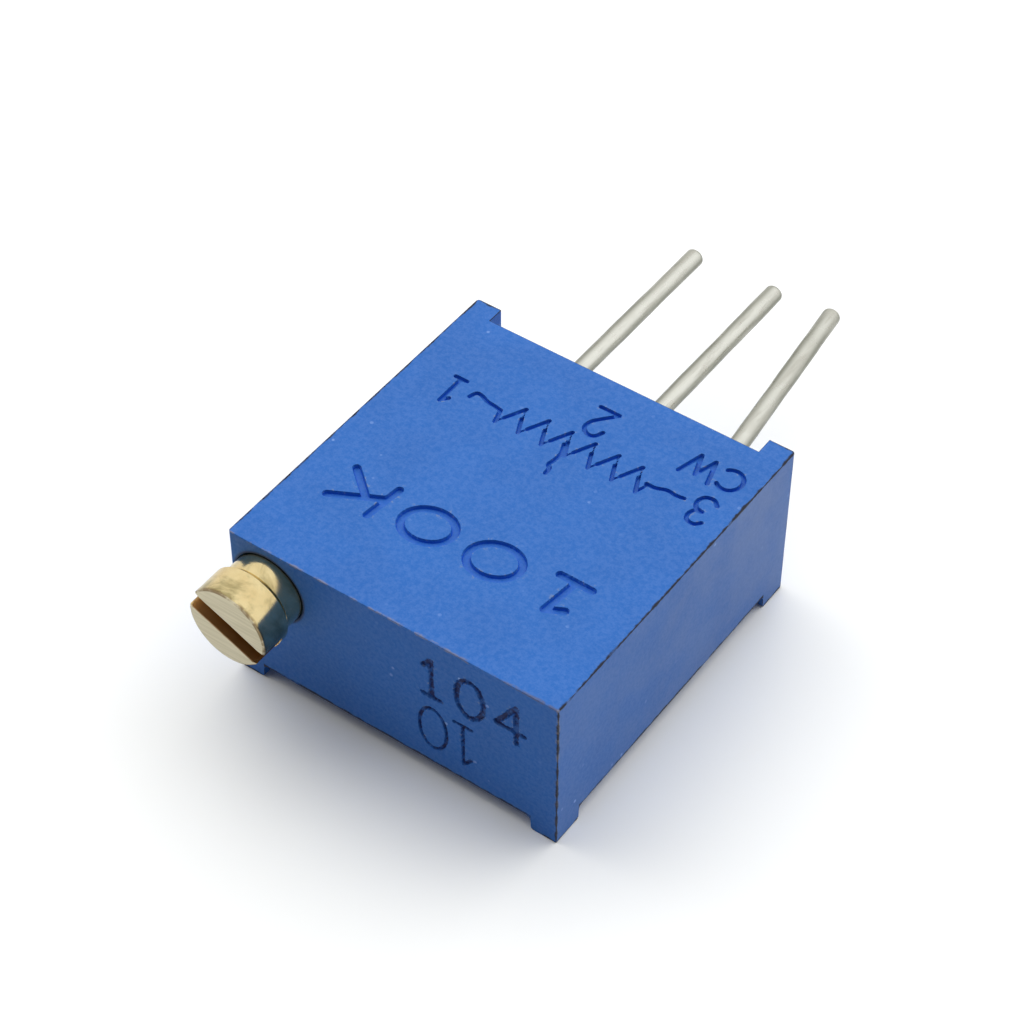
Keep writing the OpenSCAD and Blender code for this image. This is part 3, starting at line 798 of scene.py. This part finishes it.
def roundEdges(work, edges, offset, segments):
    made = bmesh.ops.bevel(work, geom=edges, offset=offset, offset_type="OFFSET", segments=segments,
                           profile=0.5, affect="EDGES", clamp_overlap=True)
    return made["faces"]


def alongAxis(edge, axis):
    way = edge.verts[1].co - edge.verts[0].co
    return abs(way[axis]) > straight * way.length


def isFootEdge(edge, low, high):
    # edges at the sole and at the root of a foot's two inner sides
    if len(edge.link_faces) != 2 or alongAxis(edge, 2) or edge.calc_face_angle() < 1.0:
        return False
    middle = (edge.verts[0].co + edge.verts[1].co) / 2
    level = min(abs(middle[2] - low[2]), abs(middle[2] - housingSpec["foot"])) < housingSpec["onPlane"]
    sides = [f for f in edge.link_faces if abs(f.normal[2]) < 0.01]
    outline = ((0, low[0]), (0, high[0]), (1, low[1]), (1, high[1]))
    inner = all(abs(f.calc_center_median()[k] - v) > housingSpec["footInner"]
                for f in sides for k, v in outline)
    onOutline = all(abs(abs(middle[k]) - high[k]) < housingSpec["footZone"] for k in (0, 1))
    return level and bool(sides) and inner and onOutline


def isBluntCorner(edge, low, high):
    # the upright corners that are worn round, which leaves out the one nearest the camera
    if not alongAxis(edge, 2):
        return False
    x, y = edge.verts[0].co[:2]
    near = housingSpec["onPlane"]
    return any(abs(x - cx) < near and abs(y - cy) < near
               for cx, cy in ((low[0], low[1]), (low[0], high[1]), (high[0], high[1])))


def buildHousing():
    low, high = boxOf("housing")
    topZ, frontY = high[2], low[1]
    topPatch = markedPatch("topPatch", topStrokes(), topMarks, lambda x, y, d: (x, y, topZ - d))
    strokes = labelStrokes(frontMarks["labels"], 1, frontMarks)
    strokes += labelStrokes(frontMarks["turned"], -1, frontMarks)
    frontPatch = markedPatch("frontPatch", strokes, frontMarks, lambda x, z, d: (x, frontY + d, z))
    work = bmesh.new()
    work.from_mesh(frame["nodes"]["housing"].data)
    for layer in list(work.loops.layers.uv.values()):
        work.loops.layers.uv.remove(layer)
    bmesh.ops.scale(work, vec=(1 / mm,) * 3, verts=work.verts)
    bmesh.ops.remove_doubles(work, verts=work.verts, dist=housingSpec["mergeGap"])
    bmesh.ops.dissolve_limit(work, angle_limit=math.radians(0.5), verts=work.verts, edges=work.edges)
    edgeLayer = work.faces.layers.float.new("edge")
    work.verts.layers.float.new("groove")
    work.verts.layers.float.new("burr")
    feet = [e for e in work.edges if isFootEdge(e, low, high)]
    roundEdges(work, feet, housingSpec["footRound"], 3)
    corners = [e for e in work.edges if isBluntCorner(e, low, high)]
    worn = list(roundEdges(work, corners, housingSpec["cornerRound"], 6))
    planes = outerPlanes()
    outer = {f for f in work.faces if isOuter(f, planes, low, high)} | {f for f in worn if f.is_valid}
    sharp = [e for e in work.edges
             if len(e.link_faces) == 2 and e.is_convex and all(f in outer for f in e.link_faces)
             and e.calc_face_angle() > 0.7]
    for face in roundEdges(work, sharp, housingSpec["edgeRound"], 2):
        face[edgeLayer] = 1.0
    swapFace(work, 2, topZ, topPatch)
    swapFace(work, 1, frontY, frontPatch)
    bmesh.ops.triangulate(work, faces=[f for f in work.faces if len(f.verts) > 4], ngon_method="BEAUTY")
    bmesh.ops.remove_doubles(work, verts=work.verts, dist=housingSpec["fineGap"])
    bmesh.ops.dissolve_degenerate(work, dist=housingSpec["sliver"], edges=work.edges)
    bmesh.ops.delete(work, geom=[e for e in work.edges if not e.link_faces], context="EDGES")
    bmesh.ops.recalc_face_normals(work, faces=work.faces)
    loose = sum(1 for e in work.edges if len(e.link_faces) != 2)
    bmesh.ops.scale(work, vec=(mm,) * 3, verts=work.verts)
    mesh = bpy.data.meshes.new("housing_body")
    work.to_mesh(mesh)
    rounded = [len(edges) for edges in (feet, corners, sharp)]
    print("housing:", len(work.faces), "faces,", *rounded, "edges rounded,", loose, "open")
    work.free()
    for patch in (topPatch, frontPatch):
        bpy.data.meshes.remove(patch)
    return mesh


placePiece("housing_body", buildHousing(), plasticFinish(), "case", ["housing"], 12.0)
print("housing done")


# Adjusting screw: one turned surface, with the slot in its face and the worm on its shank

screwLow, screwHigh = boxOf("adjustment_screw")
wheelLow, wheelHigh = boxOf("worm_wheel")

screwSpec = {
    "faceY": screwLow[1],
    "slotAngle": 24.8,      # degrees, falling to the right
    "slotWidth": 0.56,
    "slotDepth": 0.70,
    "slotShift": 0.085,
    "rimRound": 0.05,
    "lip": 0.025,           # rounding where the slot meets the face
    "headLength": 0.95,
    "neckRadius": 1.0,
    "joint": (0.03, 0.05),  # depth and width of the groove between head and neck
    "grooveRadius": 0.63,
    "sealGroove": (-4.715, -4.315),
    "clipGroove": (-3.935, -3.655),
    "collar": (0.80, -3.405),
    "wormRadius": 0.80,
    "wormLength": 4.1,
    "wheelTeeth": 32,
    "journal": (0.34, 3.425),
    "columns": 160,
}


def screwAxis():
    low, high = screwLow, screwHigh
    headRadius = (high[0] - low[0]) / 2
    return (low[0] + high[0]) / 2, (low[2] + high[2]) / 2, headRadius


def wormRadiusAt(turn, y):
    # radius of the thread at an angle round the axis and a station y: a trapezium rises from the root
    # round the helix y = pitch * turn / full turn, and fades over half a turn at each end
    module = (wheelHigh[0] - wheelLow[0]) / (screwSpec["wheelTeeth"] + 2)
    pitch = math.pi * module
    tip = screwSpec["wormRadius"]
    middleRadius, root = tip - module, tip - 2.25 * module
    middle = (wheelLow[1] + wheelHigh[1]) / 2
    along = (y - middle) / pitch - turn / (2 * math.pi)
    offset = np.abs(along - np.round(along)) * pitch
    wide = (pitch - 0.12) / 4 + (middleRadius - root) * math.tan(math.radians(20))
    turns = (y - middle) / pitch
    half = screwSpec["wormLength"] / pitch / 2
    grow = np.clip((half - np.abs(turns)) / 0.5, 0, 1)
    height = np.clip((wide - offset) / math.tan(math.radians(20)), 0, tip - root)
    return root + np.minimum(height, (tip - root) * grow)


def buildScrew():
    # rows of one closed surface round the axis, from the slot's floor to the tail: each gives a radius,
    # a depth behind the face and a share of the slot's finish at every angle
    spec = screwSpec
    axisX, axisZ, radius = screwAxis()
    half, shift = spec["slotWidth"] / 2, spec["slotShift"]
    sides = {1: half - shift, -1: half + shift}
    corners = [math.asin(sides[1] / radius), math.asin(sides[-1] / radius)]
    # columns go round from one side of the slot to the other; each corner stands twice
    upper = np.linspace(corners[0], math.pi - corners[0], spec["columns"] // 2)
    lower = np.linspace(math.pi + corners[1], 2 * math.pi - corners[1], spec["columns"] // 2)
    left = np.linspace(math.pi - corners[0], math.pi + corners[1], 12)
    right = np.linspace(-corners[1], corners[0], 12)
    turn = np.concatenate([upper, left, lower, right])
    shut = np.concatenate([np.ones(len(upper)), np.zeros(12), np.ones(len(lower)), np.zeros(12)]).astype(bool)
    sine = np.sin(turn)
    edge = np.where(sine > 0, sides[1] / np.maximum(sine, 1e-6), sides[-1] / np.maximum(-sine, 1e-6))
    edge = np.where(shut, np.minimum(edge, radius), radius)
    rimRound, depth = spec["rimRound"], spec["slotDepth"]

    def faceDrop(r):
        past = np.clip(r - (radius - rimRound), 0, rimRound)
        return rimRound - np.sqrt(np.maximum(rimRound ** 2 - past ** 2, 0))

    rows = []

    def ring(r, y):
        rows.append((r + 0 * turn, y + 0 * turn, 0 * turn))

    for share in np.linspace(0, 1, 8):                      # floor of the slot
        rows.append((edge * share, np.full_like(turn, depth), np.ones_like(turn)))
    lip = spec["lip"]
    for share in np.linspace(0, 1, 6)[1:]:                  # wall of the slot
        top = faceDrop(edge)
        y = depth + (top + lip - depth) * share
        rows.append((edge, np.where(shut, y, depth), np.full_like(turn, 1.0 - share * 0.3)))
    for share in (0.35, 0.7, 1.0):                          # rounded lip
        r = np.minimum(edge + lip * (1 - math.cos(share * math.pi / 2)), radius)
        y = faceDrop(r) + lip * (1 - math.sin(share * math.pi / 2))
        fade = np.full_like(turn, 0.3 * (1 - share))
        rows.append((np.where(shut, r, radius), np.where(shut, y, depth), fade))
    start = np.minimum(edge + lip, radius)
    for share in np.linspace(0, 1, 10)[1:]:                 # front face out to the rim
        r = start + (radius - rimRound - start) * share
        r = np.where(start > radius - rimRound, start, r)
        ring(np.where(shut, r, radius), np.where(shut, faceDrop(r), depth))
    rimStart = len(rows)
    for share in np.linspace(0, 1, 5)[1:]:                  # rounded rim
        r = np.maximum(radius - rimRound + rimRound * math.sin(share * math.pi / 2), start)
        r = np.minimum(r, radius)
        ring(np.where(shut, r, radius), np.where(shut, faceDrop(r), depth))
    rimEnd = len(rows)
    length = spec["headLength"]
    for y in (0.12, 0.3, 0.5, depth, 0.8, length - 0.05):   # side of the head
        ring(radius, np.where(shut, y, max(y, depth)))
    neck = spec["neckRadius"]
    sunk, width = spec["joint"]
    profile = [(length - rimRound, radius), (length, radius - rimRound), (length, neck - sunk),
               (length + width, neck - sunk), (length + width + sunk, neck)]
    face = spec["faceY"]
    for y in np.linspace(length + 0.2, spec["sealGroove"][0] - face, 5):
        profile.append((y, neck))
    groove = spec["grooveRadius"]
    (sealStart, sealEnd), (clipStart, clipEnd) = spec["sealGroove"], spec["clipGroove"]
    collarRadius, collarEnd = spec["collar"]
    stations = [(sealStart, groove), (sealEnd, groove), (sealEnd, neck), (clipStart, neck),
                (clipStart, groove), (clipEnd, groove), (clipEnd, collarRadius), (collarEnd, collarRadius)]
    profile += [(y - face, r) for y, r in stations]
    for y, r in profile:
        ring(r, y)
    journalRadius, wormEnd = spec["journal"]
    for y in np.linspace(collarEnd, wormEnd, 150):          # worm and its core
        angle = turn + math.radians(spec["slotAngle"])
        ring(wormRadiusAt(angle, y), y - face)
    tail, chamfer = screwHigh[1], 0.04
    for y, r in ((wormEnd, journalRadius), (tail - chamfer, journalRadius),
                 (tail, journalRadius - chamfer), (tail, 0.0)):
        ring(r, y - face)
    r = np.array([row[0] for row in rows])
    y = np.array([row[1] for row in rows]) + face
    groovePart = np.array([row[2] for row in rows])
    rimPart = np.zeros_like(groovePart)
    rimPart[rimStart:rimEnd] = 1.0
    slant = math.radians(spec["slotAngle"])
    u, w = r * np.cos(turn), r * np.sin(turn)
    x = axisX + u * math.cos(slant) + w * math.sin(slant)
    z = axisZ - u * math.sin(slant) + w * math.cos(slant)
    points = np.stack([x, y, z], -1).reshape(-1, 3)
    mesh = meshOf("screw_body", points, gridFaces(len(rows), len(turn), True),
                  {"groove": groovePart, "rim": rimPart * (1 - groovePart)})
    return tidyMesh(mesh, 0.002)


brass = brassFinish(screwSpec)
placePiece("screw_body", buildScrew(), brass, "adjuster", ["adjustment_screw"], 28.0)
print("screw done")


# Pins: drawn wire, flattened where it is soldered, with blunt tips

pinSpec = {
    "radius": 0.255,
    "flat": (0.60, 0.36),
    "flatShow": 0.12,
    "bend": 6.1,          # degrees, third pin
    "bendRadius": 1.0,
    "shortened": 0.11,    # keeps the third pin's tip inside the solid's box
    "tip": 0.13,
    "columns": 28,
}


def pinPath(node, bent):
    # centre line as x, y and heading at each station s along it: straight, or straight, arc and straight
    low, high = boxOf(node)
    faceY = boxOf("housing")[1][1] - housingSpec["ribLength"]
    start = low[1]
    root = faceY - start

    def stations(length, count):
        tip = length - pinSpec["tip"] * (1 - np.sin(np.linspace(0, 1, 9) * math.pi / 2))
        stem = np.linspace(0, root + 0.3, count)
        return np.concatenate([stem, np.linspace(root + 0.4, length - 0.2, 40), tip])

    if not bent:
        length = high[1] - start
        s = stations(length, 14)
        return np.full_like(s, (low[0] + high[0]) / 2), start + s, np.zeros_like(s), s, length, faceY
    x = high[0] - pinSpec["flat"][0] / 2
    bend, radius = math.radians(pinSpec["bend"]), pinSpec["bendRadius"]
    arc = bend * radius
    length = root + arc + (high[1] - faceY) / math.cos(bend) - pinSpec["shortened"]
    s = stations(length, 20)
    past = np.clip(s - root, 0, None)
    heading = np.clip(past / radius, 0, bend)
    beyond = past - np.minimum(past, arc)
    px = x - radius * (1 - np.cos(heading)) - beyond * np.sin(heading)
    py = np.where(past > 0, faceY + radius * np.sin(heading) + beyond * np.cos(heading), start + s)
    return px, py, heading, s, length, faceY


def buildPin(node, bent, seed):
    # rings round the centre line: a super-ellipse that turns from the flat into a circle, waves slowly
    # along the wire and draws in over the tip
    px, py, heading, s, length, faceY = pinPath(node, bent)
    low = boxOf(node)[0]
    radius = pinSpec["radius"]
    start = py[0]
    turn = np.linspace(0, 2 * math.pi, pinSpec["columns"], endpoint=False)
    flatEnd = faceY - start + pinSpec["flatShow"]
    roundness = np.clip((s - flatEnd + 0.06) / 0.1, 0, 1)[:, None]
    power = 2 / (2 + 6 * (1 - roundness))
    wide = pinSpec["flat"][0] / 2 * (1 - roundness) + radius * roundness
    high = pinSpec["flat"][1] / 2 * (1 - roundness) + radius * roundness
    tip = pinSpec["tip"]
    past = np.clip((s - (length - tip)) / tip, 0, 1)[:, None]
    blunt = np.sqrt(np.maximum(1 - past ** 2, 0)) * 0.55 + 0.45 * (1 - past ** 4)
    slow, quick = np.sin(s * 2.1 + seed)[:, None], np.sin(s * 5.3 + 2 * seed)[:, None]
    wave = 1 + 0.012 * slow * roundness + 0.008 * quick
    c, d = np.cos(turn)[None], np.sin(turn)[None]
    across = np.sign(c) * np.abs(c) ** power * wide * blunt * wave
    up = np.sign(d) * np.abs(d) ** power * high * blunt * wave
    lift = (pinSpec["flat"][1] / 2 - radius) * (1 - roundness)
    x = px[:, None] + across * np.cos(heading)[:, None]
    y = py[:, None] + across * np.sin(heading)[:, None]
    z = low[2] + radius + lift + up
    points = np.stack([x, y, z], -1).reshape(-1, 3)
    faces = gridFaces(len(s), len(turn), True).tolist()
    faces.append(list(range(len(turn)))[::-1])
    last = (len(s) - 1) * len(turn)
    faces.append([last + k for k in range(len(turn))])
    mesh = bpy.data.meshes.new(node)
    mesh.from_pydata((points * mm).tolist(), [], faces)
    return tidyMesh(mesh, 0.0005)


tin = tinFinish()
for number, bent in ((1, False), (2, False), (3, True)):
    node = f"terminal_pin_{number}"
    mesh = buildPin(node, bent, 1.7 * number)
    placePiece(f"pin_{number}", mesh, tin, "case", [node], 50.0)
print("pins done")


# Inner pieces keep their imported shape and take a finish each

innerFinishes = {
    # slot: low colour, high colour, metallic, roughness
    "seal_rubber": ((0.018, 0.018, 0.018), (0.030, 0.030, 0.032), 0.0, 0.55),
    "clip_steel": ((0.45, 0.45, 0.44), (0.62, 0.62, 0.60), 1.0, 0.30),
    "wheel_nylon": ((0.74, 0.71, 0.62), (0.84, 0.82, 0.74), 0.0, 0.42),
    "wiper_alloy": ((0.68, 0.56, 0.32), (0.80, 0.70, 0.46), 1.0, 0.22),
    "alumina": ((0.84, 0.84, 0.81), (0.90, 0.90, 0.88), 0.0, 0.60),
    "resistive_ink": ((0.030, 0.026, 0.022), (0.055, 0.048, 0.042), 0.0, 0.35),
    "conductor_ink": ((0.55, 0.54, 0.50), (0.74, 0.73, 0.70), 1.0, 0.45),
    "solder": ((0.52, 0.52, 0.52), (0.72, 0.72, 0.71), 1.0, 0.25),
    "potting_epoxy": ((0.020, 0.045, 0.14), (0.032, 0.066, 0.20), 0.0, 0.16),
}


def dressInner():
    finishes = {name: plainFinish(name, *values) for name, values in innerFinishes.items()}
    for row in frame["record"]["subparts"]:
        finish = finishes.get(row["material_slot"])
        node = frame["nodes"][row["node"]]
        if finish is not None and not node.hide_render:
            node.data.materials.clear()
            node.data.materials.append(finish)


dressInner()
print("inner pieces dressed")


# Floor and sky

def addFloor():
    size = stageSpec["floorSize"] / 2
    corners = [(-size, -size, 0), (size, -size, 0), (size, size, 0), (-size, size, 0)]
    mesh = meshOf("floor", corners, [(0, 1, 2, 3)])
    floor = bpy.data.objects.new("floor", mesh)
    bpy.context.scene.collection.objects.link(floor)
    material, tree, shader = newFinish("floor_white")
    seen = addNode(tree, "ShaderNodeLightPath").outputs["Is Camera Ray"]
    tint = blendOf(tree, seen, stageSpec["floorTint"], stageSpec["floorSeen"])
    feed(tree, shader.inputs["Base Color"], tint)
    shader.inputs["Roughness"].default_value = stageSpec["floorRough"]
    mesh.materials.append(material)


def addSky():
    # light that falls on the object: a sum of wide lobes, each strength * cosine ** power round its
    # direction; the camera and reflections see plain white
    world = bpy.data.worlds.new("sky")
    bpy.context.scene.world = world
    world.use_nodes = True
    tree = world.node_tree
    tree.nodes.clear()
    towards = addNode(tree, "ShaderNodeTexCoord").outputs["Generated"]
    total = stageSpec["skyFloor"]
    for way, power, strength in skyLobes.values():
        inputs = {0: towards, 1: Vector(way).normalized()}
        cosine = addNode(tree, "ShaderNodeVectorMath", {"operation": "DOT_PRODUCT"}, inputs).outputs["Value"]
        lobe = mathOf(tree, "POWER", mathOf(tree, "MAXIMUM", cosine, 0.0), power)
        total = mathOf(tree, "ADD", total, product(tree, lobe, strength))
    path = addNode(tree, "ShaderNodeLightPath").outputs
    seen = mathOf(tree, "MAXIMUM", path["Is Camera Ray"], path["Is Transmission Ray"])
    seen = mathOf(tree, "MAXIMUM", seen, path["Is Glossy Ray"])
    strength = mixValue(tree, seen, total, 1.0)
    inputs = {"Color": stageSpec["seenWhite"], "Strength": strength}
    light = addNode(tree, "ShaderNodeBackground", None, inputs)
    output = addNode(tree, "ShaderNodeOutputWorld")
    tree.links.new(light.outputs[0], output.inputs[0])


addFloor()
addSky()
bpy.context.scene.view_settings.view_transform = "Standard"
print("stage lit")
